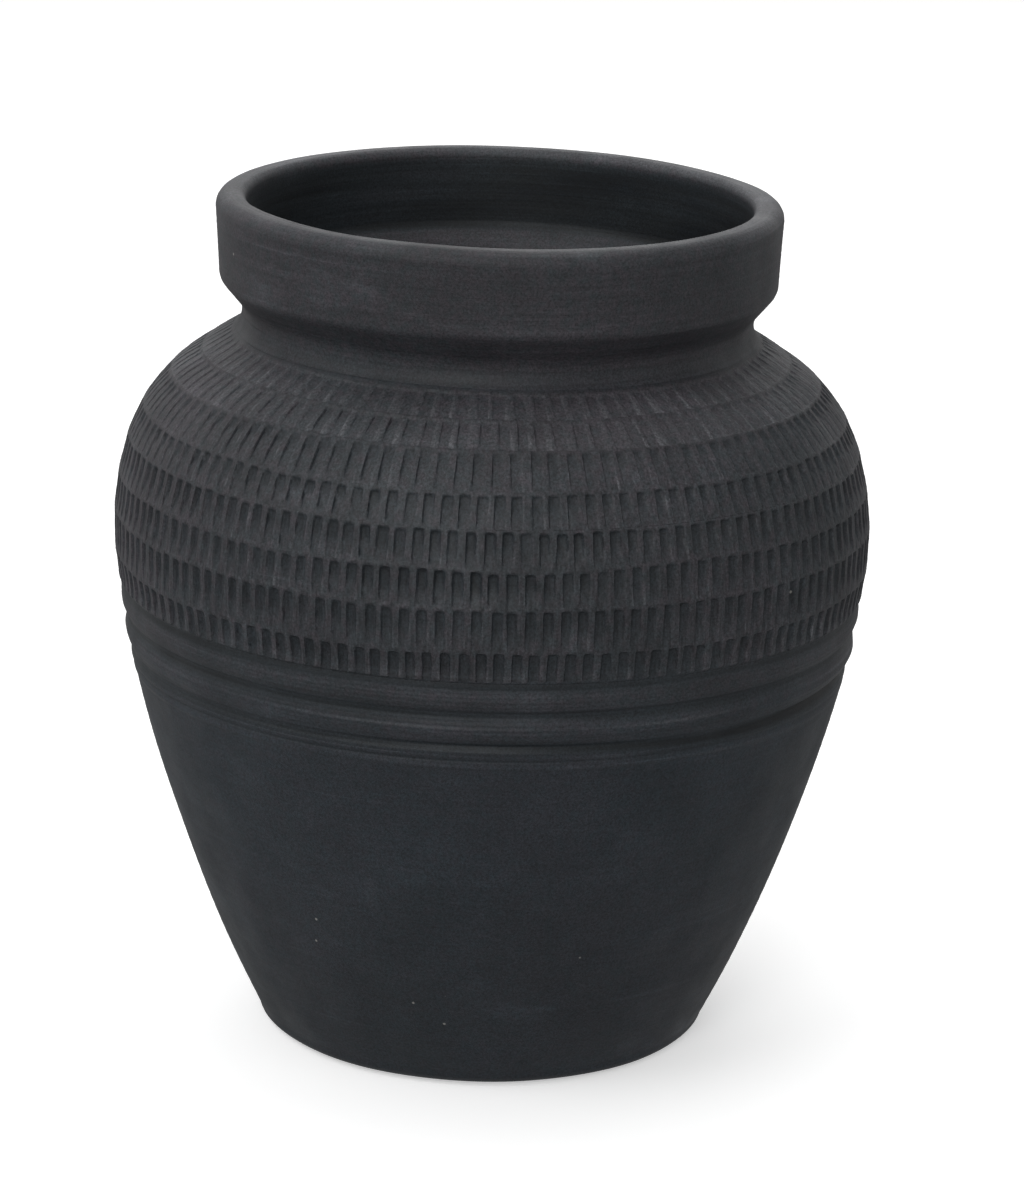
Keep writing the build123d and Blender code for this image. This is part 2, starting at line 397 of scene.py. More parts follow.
# Down one row, as shares of its height: two rows of points on the land above the cells, then the cells
LAND_POINTS = 2
DOWN = (-0.07, -0.022, 0.018, 0.055, 0.11, 0.19, 0.29, 0.41, 0.53, 0.65, 0.76, 0.85, 0.91)
LAST_DOWN = (-0.10, -0.03, 0.022, 0.07, 0.14, 0.24, 0.36, 0.50, 0.64, 0.77, 0.88, 0.95, 0.99)
LAND_EDGE, WOBBLE_END = -0.05, 0.5  # a cell's own drop and tilt act between these
ROW_RIDGE, FULL_RIDGE_DEPTH, RIB_LIFT, ROUGHNESS = 0.32, 1.6, 0.14, 0.05
PRESS, LIGHT_SIDE, LIGHT_SIDE_WIDTH, LIGHT_SIDE_LOSS = 0.94, 3.0, 0.85, 0.44

# How much the cells of a row differ from each other, as standard deviations
PLACE_SPREAD, WIDTH_SPREAD, DEPTH_SPREAD, DEPTH_DRIFT = 0.045, 0.05, 0.12, 0.15
DROP_SPREAD, TILT_SPREAD, SLANT_SPREAD = 0.013, 0.02, 0.035
LENGTH_SPREAD, SHADE_SPREAD, POINT_SPREAD = 0.09, 0.12, 0.008


def row_edge(index, turn):
    """Length along the body's skin of a row's top edge, with the slow wander of a hand-stamped row."""
    sag = lobe(turn, SAG_TURN, SAG_WIDTH)
    if index == len(ROWS):
        return ROW_S[index] - FIELD_FOOT_SAG * sag + 0.2 * waves(turn, 0 * turn, *FIELD_FOOT_WANDER)
    wander = (0.45 if index else 0.2) * waves(turn, 0 * turn, ROW_WANDER_SEED + index, *ROW_WANDER)
    return ROW_S[index] - (ROW_SAG if index >= BOLD_ROWS_FROM else 0.0) * sag + wander


def press(turn):
    """How hard the stamp went in around the pot: lightest on one side."""
    return PRESS - LIGHT_SIDE_LOSS * lobe(turn, LIGHT_SIDE, LIGHT_SIDE_WIDTH)


def stamped_row(shell, index):
    """Adds the rows of points of one row of cells, from its top down."""
    row = ROWS[index]
    cells, last, bold = row.cells, index == len(ROWS) - 1, index >= BOLD_ROWS_FROM
    pick = np.random.default_rng(STAMP_SEED + index)

    # What differs from cell to cell
    centre = np.arange(cells) + pick.normal(0, PLACE_SPREAD, cells) + pick.uniform(0, 1)
    around = centre / cells * FULL_TURN
    wide = 1 + pick.normal(0, WIDTH_SPREAD, cells)
    drift = waves(around, 0.0, DEPTH_DRIFT_SEED + index, *STAMP_DEPTH_DRIFT)
    depth = press(around) * (1 + pick.normal(0, DEPTH_SPREAD, cells) + DEPTH_DRIFT * drift)
    drop = pick.normal(0, DROP_SPREAD, cells)
    tilt = pick.normal(0, TILT_SPREAD, cells)
    slant = pick.normal(0, SLANT_SPREAD, cells)
    length = row.pocket_run * (1 + pick.normal(0, LENGTH_SPREAD, cells))[:, None]
    # how strong each cell's soot and painted shade is, less where the stamp went in lightly
    shade = np.clip(press(around) + pick.normal(0, SHADE_SPREAD, cells), 0.25, 1.2)[:, None]
    worn_left, worn_right = (pick.uniform(0.0, 1, (2, cells)) ** 2)[:, :, None]
    stroke_at, stroke = pick.uniform(0.15, 0.95, cells), pick.gamma(0.8, 0.45, cells)

    spread = np.where(ACROSS > 0.7, 1, wide[:, None])
    groove_end = (1.2, 1.5) if last else (0.80, 0.96)
    ridge = ROW_RIDGE * min(1.0, (row.pocket_depth / FULL_RIDGE_DEPTH) ** 2)
    rib = np.where(LEFT_HALF, worn_left, worn_right) * RIB_EDGE
    foot_rub = 0.4 * worn_right + 0.6 * (RIB_EDGE > 0) * worn_left

    for place, v in enumerate(LAST_DOWN if last else DOWN):
        inside = float(v > 0)
        on_lip = float(LAND_EDGE < v < 0)
        u = centre[:, None] + ACROSS * spread + slant[:, None] * (v - 0.4)
        turn = (u + pick.normal(0, POINT_SPREAD, u.shape)).ravel() / cells * FULL_TURN
        wobble = (drop[:, None] + tilt[:, None] * (ACROSS - 0.3)) * float(LAND_EDGE < v < WOBBLE_END)
        upper, lower = row_edge(index, turn), row_edge(index + 1, turn)
        s = upper - (v + wobble).ravel() * (upper - lower)

        # Relief: the pocket and its groove are cut in, and the ribs and the land between rows stand out
        fall = inside * (1 - fade(v, 0.34 * length, length))
        along = inside * float(1 - 0.3 * fade(v, 0.1, 0.6)) * float(1 - fade(v, *groove_end))
        cut = np.maximum(row.pocket_depth * fall * POCKET, row.groove_depth * along * GROOVE)
        level = place - LAND_POINTS
        cut = cut * depth[:, None] * (TOP_CURVES[level] if 0 <= level < len(TOP_CURVES) else 1)
        lift = RIB_LIFT * RIB_EDGE * inside * float(1 - fade(v, 0.7, 0.9) * (not last))
        brow = ridge * float(0.5 + 0.5 * math.cos(FULL_TURN * v)) ** 2
        step = row.step_in * inside * float(1 - fade(v, 0.05, 0.85))
        move = (lift + brow - cut - step + pick.normal(0, ROUGHNESS, u.shape)).ravel()

        # Tone: rubbed ribs, pale strokes, a rubbed foot, and soot and painted shade in the pocket and its groove
        tone = 0.7 * rib * inside * float(0.35 + 0.65 * fade(v, 0.2, 0.9))
        tone = tone + inside * (stroke * hump(v, stroke_at, 0.16))[:, None] * RIB_LEFT_EDGE
        tone = tone + fade(v, 0.55, 0.95) * (0.9 if last else 0.15) * foot_rub * inside
        if index in RUBBED_ROWS:
            pale_tone = 0.25 + 0.9 * worn_right * float(fade(v, 0.3, 0.9))
            tone = tone + inside * pale_tone * RIB + 0.27 * inside
        dusk = inside * (1 - fade(v, 0.35 * length, 1.05 * length) * (not last))
        soot = SHADE * np.clip(np.maximum(dusk, 0.8 * along * DARKEST), 0, 1) * shade
        # On the bold rows the land just above the pockets is paler: a painted highlight
        tone = (tone - soot * row.soot + (0.12 if bold else 0.0) * on_lip).ravel()

        r, z = BODY.at(s)
        normal_r, normal_z = BODY.normal(s)
        turn = turn % FULL_TURN
        order = np.argsort(turn, kind="stable")
        shell.ring((r + normal_r * move)[order], turn[order], (z + normal_z * move)[order], tone[order])


def body_ring(shell, s, tone=0.0, sink=0.0):
    """A smooth row at a length along the body's skin, sunk into it."""
    r, z = BODY.at(s)
    normal_r, normal_z = BODY.normal(s)
    shell.ring(r - normal_r * sink, TURNS, z - normal_z * sink, tone)


# The seam between the belly band and the shoulder dome runs just above the fifth row
BAND_SEAM = row_edge(4, TURNS) + 1.75

# Floor disc ----------------------------------------------------------------------------------------------------
DISC_TURNS = TURNS[::4]
DISC_HOLE = 3.0  # radius of the innermost row, which is capped
DISC_TOP_RADIUS = FLOOR_RADIUS - FLOOR / 2
floor_shell = Shell()
for r in np.linspace(DISC_HOLE, FLOOR_RADIUS, 14):
    floor_shell.ring(r, DISC_TURNS, 0.0)
floor_shell.ring(DISC_TOP_RADIUS, DISC_TURNS, FLOOR)
for r in np.linspace(DISC_TOP_RADIUS - 3, DISC_HOLE, 30):
    spiral = np.cos(r / 3.1 + DISC_TURNS) * fade(90 - r, 0, 20) * fade(r, 3, 12)
    floor_shell.ring(r, DISC_TURNS, FLOOR - 0.3 + 0.3 * spiral)
floor_shell.cap()
floor_disc = piece("clay_floor_disc", floor_shell, "floor_disc")

# Turned relief of the lower wall and the belt ------------------------------------------------------------------
# Raised and cut rings: height, half width, how far they stand out, how much more on the right, and whether
# they sway
BELT_RINGS = [
    (223.0, 3.8, 0.5, 0.3, True),
    (206.0, 3.2, 0.6, 0.7, False),
    (210.4, 0.8, 0.30, 0.0, True),
    (216.4, 2.9, -0.9, -0.6, True),
]
THREAD_CUT_Z, THREAD_Z = 191.9, 188.7
THREAD_RINGS = [(THREAD_CUT_Z, 0.75, -0.55, 0.45, False), (THREAD_Z, 1.3, 0.45, -0.35, False)]
RIGHT = 0.1  # the side where the belt's lowest groove is cut deepest
# Heights of the lowest groove, of the bands darkened by soot and painted shade, and of the ridges made paler by
# rubbing and a painted highlight
LOW_GROOVE_Z, MIDDLE_SOOT_AND_SHADE_Z, TOP_SOOT_AND_SHADE_Z, MIDDLE_RUB_AND_HIGHLIGHT_Z, THREAD_RUB_AND_HIGHLIGHT_Z = 197.6, 214.8, 230.4, 208.8, 194.4
# Heights between which the wall's and the belt's relief comes in, and those between which it dies out
WALL_IN, WALL_OUT, BELT_IN, BELT_OUT = (0.5, 14), (188, 194), (190, 196), (229.0, 231.5)
BELT_SMUDGES = dict(seed=61, count=26, heights=(186, 230), wide=(0.03, 0.12), tall=(0.9, 2.2))
WALL_SMUDGES = dict(seed=62, count=22, heights=(15, 180), wide=(0.015, 0.06), tall=(5.0, 16.0))


def lowest_groove(turn):
    """Height of the groove under the belt, which climbs on one side."""
    climb = 4.2 * lobe(turn, RIGHT, 0.6) + 2.1 * hump(turn, 4.85, 0.42)
    return LOW_GROOVE_Z + climb - 0.9 * hump(turn, 5.28, 0.4)


def rings_relief(rings, z, right, sway):
    """Outward shift at a height from a table of raised and cut rings."""
    return sum((lift + more * right) * hump(z, at + sways * sway, wide) for at, wide, lift, more, sways in rings)


def turned_relief(turn, z):
    """Outward shift of the belt and the wall under it: pinched rolls, turning grooves and scraped flats."""
    right = lobe(turn, RIGHT, 0.75)
    sway = 0.5 * waves(turn, 0 * z, *ROLL_SWAY) - 1.8 * (1 - right)
    wall = 0.20 * waves(turn, z, *WALL_FLATS) + 0.05 * np.sin(z * 1.9 + 2 * waves(turn, z, *WALL_PHASE))
    wall = wall * fade(z, *WALL_IN) * (1 - fade(z, *WALL_OUT))
    belt = 0.20 * waves(turn, z, *ROLL_DENTS) + 0.09 * np.sin(z * 2.6 + waves(turn, z, *ROLL_PHASE))
    belt = belt + rings_relief(BELT_RINGS, z, right, sway)
    belt = belt * fade(z, *BELT_IN) * (1 - fade(z, *BELT_OUT))
    low = lowest_groove(turn)
    groove = np.where(z > low, hump(z, low, 2.1 - 1.0 * right), hump(z, low, 2.2 + 2.4 * right))
    return wall + belt - (1.1 + 2.7 * right) * groove + rings_relief(THREAD_RINGS, z, right, sway)


def smudges(turn, z, seed, count, heights, wide, tall):
    """Dusty touches scattered around the pot, each 1 at its middle and fading out."""
    pick = np.random.default_rng(seed)
    total = 0 * turn
    for _ in range(count):
        off = angle_from(turn, pick.uniform(0, ANYWHERE))
        up = z - pick.uniform(*heights) - pick.normal(0, 12) * off
        spread, height = pick.uniform(*wide), pick.uniform(*tall)
        total = total + pick.uniform(0.4, 1) * np.exp(-((off / spread) ** 2) - ((up / height) ** 2))
    return total


def turned_tone(turn, z):
    """Soot and painted shade darken the turned grooves and the zone under the stamped cells, and the ridges
    between them are rubbed pale with a painted highlight.
    """
    right = lobe(turn, RIGHT, 0.75)
    wide, left = lobe(turn, -0.55, 0.65), lobe(turn, -2.5, 0.6)
    soot = (
        (0.95 + 0.75 * wide) * hump(z, lowest_groove(turn) - 0.3 - 1.0 * wide, 2.5 + 0.9 * wide)
        + 0.5 * (1 - wide) * hump(z, THREAD_CUT_Z, 0.8)
        + (0.75 + 0.45 * left) * hump(z, MIDDLE_SOOT_AND_SHADE_Z + 1.6 * right, 3.0)
        + (0.75 + 0.35 * left) * hump(z, TOP_SOOT_AND_SHADE_Z, 2.6)
    )
    pale_tone = (
        hump(z, MIDDLE_RUB_AND_HIGHLIGHT_Z + 1.6 * right, 0.9)
        + 0.9 * (1 - wide) * hump(z, THREAD_RUB_AND_HIGHLIGHT_Z, 0.7)
        + 0.8 * hump(z, THREAD_Z, 1.2)
    )
    patchy = np.clip(0.6 + 0.9 * waves(turn, z, *BELT_PALE_PATCHES), 0, 2)
    dust = 0.45 * smudges(turn, z, **BELT_SMUDGES) + 0.22 * smudges(turn, z, **WALL_SMUDGES)
    return 0.45 * pale_tone * patchy + dust - 0.9 * soot


def turned_rings(shell, points):
    """Rows of the belt or the wall, shifted straight outward so that the two stay joined at their seam."""
    for r, z in points:
        shell.ring(r + turned_relief(TURNS, z), TURNS, z, turned_tone(TURNS, z))


def thickened(points, low, high, step):
    """The points of a run with more rows between two heights."""
    skin = Skin(points)
    heights = [z for r, z in points if not low < z < high] + list(np.arange(low, high + 1e-6, step))
    return [(float(skin.at_z(z)[0]), float(z)) for z in sorted(set(np.round(heights, 4)))]


# Lower wall ----------------------------------------------------------------------------------------------------
wall_run = [(lower_radius(z), z) for z in np.arange(FOOT_Z, BELT_FOOT_Z - 1, 2.2)]
wall_run.append((lower_radius(BELT_FOOT_Z), BELT_FOOT_Z))
foot_run = joined(
    line((FLOOR_RADIUS, 0.0), (FOOT_FLAT_RADIUS, 0.0), 2.5),
    [
        (FOOT_FLAT_RADIUS + (FOOT_RADIUS - FOOT_FLAT_RADIUS) * math.sin(a), FOOT_Z * (1 - math.cos(a)))
        for a in np.linspace(0.12, math.pi / 2 * 0.86, 9)
    ],
)
BELT_SEAM_Z = BELT_FOOT_Z + SEAM_RISE  # where the belt's lower seam comes out inside
lower_shell = Shell()
for r, z in foot_run:
    lower_shell.ring(r + turned_relief(TURNS, z), TURNS, z)
turned_rings(lower_shell, thickened(wall_run, 185.0, BELT_FOOT_Z, 0.48))
inner_wall = [(lower_radius(z, WALL), z) for z in np.arange(BELT_SEAM_Z, 30, -6.0)]
floor_edge = rounded(
    (lower_radius(60, WALL), 60), (lower_radius(FLOOR, WALL), FLOOR), (60.0, FLOOR), FLOOR, 2.0
)
inner_run(lower_shell, joined(inner_wall, floor_edge, [(DISC_TOP_RADIUS, FLOOR)]))
lower_shell.close()
lower_wall = piece("clay_lower_wall", lower_shell, "lower_wall")

# Belt ----------------------------------------------------------------------------------------------------------
belt_foot = (lower_radius(BELT_FOOT_Z), BELT_FOOT_Z)
belt_bead, belt_groove, belt_top = belt_point(BELT_BEAD_Z), belt_point(BELT_GROOVE_Z), belt_point(BELT_TOP_Z)
belt_run = joined(
    bulge(belt_foot, belt_bead, BEAD_BULGE, 0.55),
    bulge(belt_bead, belt_groove, ROLL_BULGE, 0.8),
    bulge(belt_groove, belt_top, ROLL_BULGE, 0.8),
)
belly_inner_radius = belly_radius(BELT_TOP_Z, WALL)
belt_shell = Shell()
turned_rings(belt_shell, thickened(belt_run, BELT_FOOT_Z, BELT_TOP_Z, 0.6))
inner_run(
    belt_shell,
    [(belt_top[0] - WALL, BELT_TOP_Z + SEAM_RISE), (belly_inner_radius, BELT_TOP_Z)]
    + [
        (lower_radius(z, WALL) * (1 - share) + belly_inner_radius * share, z)
        for z, share in ((222.0, 0.75), (212.0, 0.45))
    ]
    + [(lower_radius(BELT_SEAM_Z, WALL), BELT_SEAM_Z)],
)
belt_shell.close()
belt_ring = piece("clay_belt_ring", belt_shell, "belt_ring")

# Belly band ----------------------------------------------------------------------------------------------------
belly_shell = Shell()
body_ring(belly_shell, BAND_SEAM)
for index in BAND_ROWS:
    stamped_row(belly_shell, index)
# The band's two rows by the belt are darker under the last row of cells: soot and painted shade
body_ring(belly_shell, 0.6, -0.45, 0.3)
belly_shell.ring(belt_top[0], TURNS, BELT_TOP_Z, -0.5)
inner_foot_z, inner_seam_z = BELT_TOP_Z + SEAM_RISE, BAND_SEAM_Z + SEAM_RISE
belly_inner = Skin(body_run(WALL, 1.0))
inner_run(
    belly_shell,
    [belly_inner.at_z(inner_foot_z)]
    + [p for p in body_run(WALL, 5.0) if inner_foot_z < p[1] < inner_seam_z]
    + [belly_inner.at_z(inner_seam_z)],
)
belly_shell.close()
belly_band = piece("clay_belly_band", belly_shell, "belly_band", top_down=True)

# Shoulder dome -------------------------------------------------------------------------------------------------
dome_shell = Shell()
body_ring(dome_shell, BODY.s[-1], NECK_TONE)
body_ring(dome_shell, BODY.s[-1] - 1.0, NECK_TONE)
for index in DOME_ROWS:
    stamped_row(dome_shell, index)
body_ring(dome_shell, BAND_SEAM)
neck_seam_z = on_circle(THROAT_CENTRE, THROAT_FILLET, NECK_FOOT_ANGLE)[1] + SEAM_RISE
throat_inner = Skin(
    joined(body_run(WALL, 1.0)[:-4], arc(THROAT_CENTRE, THROAT_FILLET + WALL, CONE_TURN, 180, 1.0))
)
dome_inner_heights = list(np.arange(inner_seam_z, neck_seam_z, 4.0)) + [neck_seam_z]
inner_run(dome_shell, [throat_inner.at_z(z) for z in dome_inner_heights])
dome_shell.close()
shoulder_dome = piece("clay_shoulder_dome", dome_shell, "shoulder_dome", top_down=True)


# Neck ring -----------------------------------------------------------------------------------------------------
def neck_relief(turn, s, z):
    """Slight dents in the throat."""
    return 0.12 * waves(turn, z, *NECK_DENTS)


def neck_tone(turn, s, z):
    return NECK_TONE


neck_shell = Shell()
run_rings(neck_shell, arc(THROAT_CENTRE, THROAT_FILLET, NECK_FOOT_ANGLE, 180, 0.8), neck_relief, neck_tone)
inner_run(neck_shell, [throat_inner.at_z(z) for z in (THROAT_Z, THROAT_Z - 0.6)])
neck_shell.close()
neck_ring = piece("clay_neck_ring", neck_shell, "neck_ring")

# Collar --------------------------------------------------------------------------------------------------------
underside = on_circle(THROAT_CENTRE, THROAT_FILLET, UNDERSIDE_ANGLE + 90)
inner_slope = on_circle(THROAT_CENTRE, THROAT_FILLET + WALL, UNDERSIDE_ANGLE + 90)
collar_foot = meeting_at_radius(underside, UNDERSIDE_ANGLE, COLLAR_FOOT_RADIUS)
crease = meeting_at_radius(inner_slope, UNDERSIDE_ANGLE, MOUTH_RADIUS)
lip_out, lip_in = (COLLAR_RADIUS, HEIGHT), (MOUTH_RADIUS, HEIGHT)
foot_round = rounded(underside, collar_foot, lip_out, COLLAR_FOOT_FILLET)
out_round = rounded(collar_foot, lip_out, lip_in, LIP_OUTER_FILLET)
in_round = rounded(lip_out, lip_in, crease, LIP_INNER_FILLET)
crease_round = rounded(lip_in, crease, inner_slope, CREASE_FILLET)
collar_run = joined(
    arc(THROAT_CENTRE, THROAT_FILLET, 180, UNDERSIDE_ANGLE + 90, 0.9),
    line(underside, foot_round[0], 1.2),
    foot_round,
    line(foot_round[-1], out_round[0], 1.6),
    out_round,
    line(out_round[-1], in_round[0], 0.6),
    in_round,
    line(in_round[-1], crease_round[0], 2.0),
    crease_round,
    line(crease_round[-1], inner_slope, 1.5),
    arc(THROAT_CENTRE, THROAT_FILLET + WALL, UNDERSIDE_ANGLE + 90, 180, 2.0),
)
collar_skin = Skin(collar_run)
INNER_LIP_S, CREASE_S = collar_skin.s_near(in_round[-1]), collar_skin.s_near(crease_round[-1])

# The soft ridge on the collar's face: turns from the front, and its height there
SWEEP_TURN = (-0.75, -0.51, -0.31, -0.20, -0.08, 0.05, 0.30)
SWEEP_Z = (412.0, 408.0, 396.5, 391.5, 389.5, 389.5, 391.0)
FRONT, SWEEP_MIDDLE, SWEEP_END, SWEEP_FULL, SWEEP_WIDTH = -math.pi / 2, -1.75, 0.75, 0.35, 1.9
LIP_RUB_AND_HIGHLIGHT_START, LIP_RUB_AND_HIGHLIGHT_END = HEIGHT - 4.5, HEIGHT - 0.5


def collar_sweep(turn, s, z):
    """1 along the soft ridge where the potter's thumb left the collar's face, falling to 0 on both sides."""
    ridge = np.interp(angle_from(turn, FRONT), SWEEP_TURN, SWEEP_Z)
    near = fade(abs(angle_from(turn, SWEEP_MIDDLE)), SWEEP_END, SWEEP_FULL)
    return hump(z, ridge, SWEEP_WIDTH) * near * float(s < INNER_LIP_S)


def collar_relief(turn, s, z):
    """Turning marks and dents, and the soft ridge on the face."""
    turning = np.sin(s * 2.3 + 2 * waves(turn, s, *COLLAR_PHASE))
    dents = 0.16 * waves(turn, s, *COLLAR_DENTS) + 0.045 * turning
    return 0.22 * collar_sweep(turn, s, z) + fade(s, 0, 6) * dents


def collar_tone(turn, s, z):
    """The lip is rubbed pale with a painted highlight, the face's soft ridge is paler with a painted highlight,
    and the inside is darkened below the lip, down to the crease, by soot and painted shade.
    """
    # painted highlight on the lip, strongest on the right, then on the left and at the back, faintest in front
    highlight_by_side = 0.75 + 0.35 * np.cos(2 * turn) + 0.25 * np.sin(turn) + 0.30 * np.cos(turn)
    lip = fade(z, LIP_RUB_AND_HIGHLIGHT_START, LIP_RUB_AND_HIGHLIGHT_END) * (highlight_by_side + 0.25 * waves(turn, s, *LIP_PALE_PATCHES))
    pale_tone = 0.30 * collar_sweep(turn, s, z) + lip
    if s <= INNER_LIP_S:
        return pale_tone
    # Inside, soot and painted shade darken the wall below the lip, less on the left, where a painted light falls
    left = np.clip(0.5 - 0.6 * np.cos(turn), 0, 1)
    below_lip, past_crease = fade(s, INNER_LIP_S, INNER_LIP_S + 6.0), fade(s, CREASE_S - 2.0, CREASE_S + 2.0)
    return pale_tone - (0.4 + (0.78 - 0.38 * left) * below_lip - past_crease) + 0.12 * waves(turn, s, *MOUTH_SOOT_AND_SHADE)


collar_shell = Shell()
run_rings(collar_shell, collar_run, collar_relief, collar_tone)
collar_shell.close()
rim_collar = piece("clay_rim_collar", collar_shell, "rim_collar")


# Clay ----------------------------------------------------------------------------------------------------------
class Nodes:
    """Makes the nodes of one shader tree. An input is a number, a colour or another node's output."""

    def __init__(self, tree):
        self.tree = tree

    def feed(self, slot, value):
        if isinstance(value, bpy.types.NodeSocket):
            self.tree.links.new(value, slot)
        else:
            slot.default_value = value

    def add(self, kind, *inputs, operation=None, **named):
        made = self.tree.nodes.new(kind)
        if operation:
            made.operation = operation
        for slot, value in zip(made.inputs, inputs):
            self.feed(slot, value)
        for name, value in named.items():
            self.feed(made.inputs[name], value)
        return made

    def maths(self, operation, a, b=0.0):
        return self.add("ShaderNodeMath", a, b, operation=operation).outputs[0]

    def product(self, first, *others):
        for other in others:
            first = self.maths("MULTIPLY", first, other)
        return first

    def remap(self, value, low, high, to_low=0.0, to_high=1.0):
        return self.add("ShaderNodeMapRange", value, low, high, to_low, to_high).outputs[0]

    def mixed(self, factor, a, b):
        made = self.tree.nodes.new("ShaderNodeMix")
        made.data_type = "RGBA"
        for slot, value in ((0, factor), (6, a), (7, b)):
            self.feed(made.inputs[slot], value)
        return made.outputs[2]

    def stretched(self, place, around, up):
        """Coordinates for a pattern drawn out around the pot or up it."""
        return self.add("ShaderNodeVectorMath", place, (around, around, up), operation="MULTIPLY").outputs[0]

    def noise(self, place, scale, detail=3.0, rough=0.55):
        made = self.add("ShaderNodeTexNoise", Vector=place, Scale=scale, Detail=detail, Roughness=rough)
        return made.outputs["Fac"]


# Bare clay as a cool and a warm colour, by height, and what rubbing and painted highlights, and soot and painted
# shade, turn it to
UPPER_COOL, UPPER_WARM = (0.0252, 0.0298, 0.0340, 1), (0.0345, 0.0315, 0.0372, 1)
LOWER_COOL, LOWER_WARM = (0.0160, 0.0224, 0.0284, 1), (0.0200, 0.0226, 0.0290, 1)
RUBBED_AND_HIGHLIT, SOOTY_AND_SHADED, DEEP_SOOT_AND_SHADE, MINERAL = (
    (0.0312, 0.0318, 0.0348, 1),
    (0.0230, 0.0315, 0.0385, 1),
    (0.0205, 0.0300, 0.0410, 1),
    (0.33, 0.32, 0.30, 1),
)


def clay_material():
    mat = bpy.data.materials.new("smoked_clay")
    mat.use_nodes = True
    surface = mat.node_tree.nodes["Principled BSDF"]
    n = Nodes(mat.node_tree)
    place = n.add("ShaderNodeTexCoord").outputs["Object"]
    height = n.add("ShaderNodeSeparateXYZ", place).outputs[2]
    attribute = n.add("ShaderNodeAttribute")
    attribute.attribute_name = "tone"
    tone = attribute.outputs["Fac"]

    # Streaks run down the stamped field and around the rest
    turned = n.noise(n.stretched(place, 7.0, 520.0), 1.0, 4.0, 0.6)
    combed = n.noise(n.stretched(place, 760.0, 55.0), 1.0, 2.0, 0.6)
    stamped = n.product(n.remap(height, 0.234, 0.237), n.remap(height, 0.357, 0.361, 1.0, 0.0))
    bare = n.maths("SUBTRACT", 1.0, stamped)
    streaks = n.maths("ADD", n.product(combed, stamped), n.product(turned, bare))
    strength = n.product(n.remap(height, 0.180, 0.236, 0.40, 1.60), n.remap(height, 0.352, 0.366, 1.0, 0.62))
    drawn = n.maths("ADD", 1.0, n.product(n.maths("SUBTRACT", streaks, 0.5), strength))

    # Colour
    tint = n.maths(
        "ADD", n.product(n.noise(place, 9.0, 2.0), 0.40), n.product(n.noise(place, 230.0, 2.0), 0.60)
    )
    warmth = n.remap(tint, 0.40, 0.60)
    colour = n.mixed(
        n.remap(height, 0.186, 0.240),
        n.mixed(warmth, LOWER_COOL, LOWER_WARM),
        n.mixed(warmth, UPPER_COOL, UPPER_WARM),
    )
    colour = n.mixed(n.product(n.remap(tone, 0.1, 1.0), 0.75), colour, RUBBED_AND_HIGHLIT)
    colour = n.mixed(n.product(n.remap(tone, -0.8, 0.0, 1.0, 0.0), 0.85), colour, SOOTY_AND_SHADED)
    colour = n.mixed(n.remap(tone, -1.25, -1.1, 1.0, 0.0), colour, DEEP_SOOT_AND_SHADE)

    # Lightness: patches, painted shade low on the wall near the floor and a painted light gradient darker high on
    # the stamped field, grain, wear with painted highlights, soot with painted shade, dust and scratches
    shade = n.product(
        n.product(
            n.remap(n.noise(place, 26.0, 4.0), 0.35, 0.75, 0.86, 1.20),
            n.remap(height, 0.22, 0.33, 1.04, 0.96),
            n.remap(height, 0.0, 0.12, 0.80, 1.02),
            n.remap(n.noise(place, 850.0, 2.0, 0.9), 0.32, 0.68, 0.50, 1.50),
        ),
        drawn,
        n.product(n.remap(tone, 0.0, 1.5, 1.0, 2.3), n.remap(tone, -1.35, 0.0, 0.15, 1.0)),
        n.product(
            n.remap(n.noise(n.stretched(place, 14.0, 34.0), 1.0, 5.0, 0.65), 0.59, 0.78, 1.0, 1.75),
            n.remap(turned, 0.66, 0.72, 1.0, 1.30),
        ),
    )
    clay_colour = n.add("ShaderNodeVectorMath", colour, operation="SCALE", Scale=shade).outputs[0]

    # White mineral specks: a few cells of a scatter hold one small grain each
    scatter = n.add("ShaderNodeTexVoronoi", Vector=place, Scale=62.0)
    chance = n.add("ShaderNodeSeparateColor", scatter.outputs["Color"]).outputs[0]
    speck = n.product(
        n.maths("GREATER_THAN", chance, 0.93), n.remap(scatter.outputs["Distance"], 0.035, 0.055, 1.0, 0.0)
    )
    n.feed(surface.inputs["Base Color"], n.mixed(n.product(speck, 0.6), clay_colour, MINERAL))

    n.feed(surface.inputs["Roughness"], n.remap(n.noise(place, 40.0, 4.0), 0.3, 0.7, 0.52, 0.66))
    surface.inputs["Specular IOR Level"].default_value = 0.35
    tooth = n.maths("ADD", n.product(n.noise(place, 900.0, 3.0, 0.7), 0.5), streaks)
    bump = n.add("ShaderNodeBump", Strength=0.35, Distance=0.0004, Height=tooth)
    n.feed(surface.inputs["Normal"], bump.outputs[0])
    return mat


clay = clay_material()
for made in (floor_disc, lower_wall, belt_ring, belly_band, shoulder_dome, neck_ring, rim_collar):
    made.data.materials.append(clay)

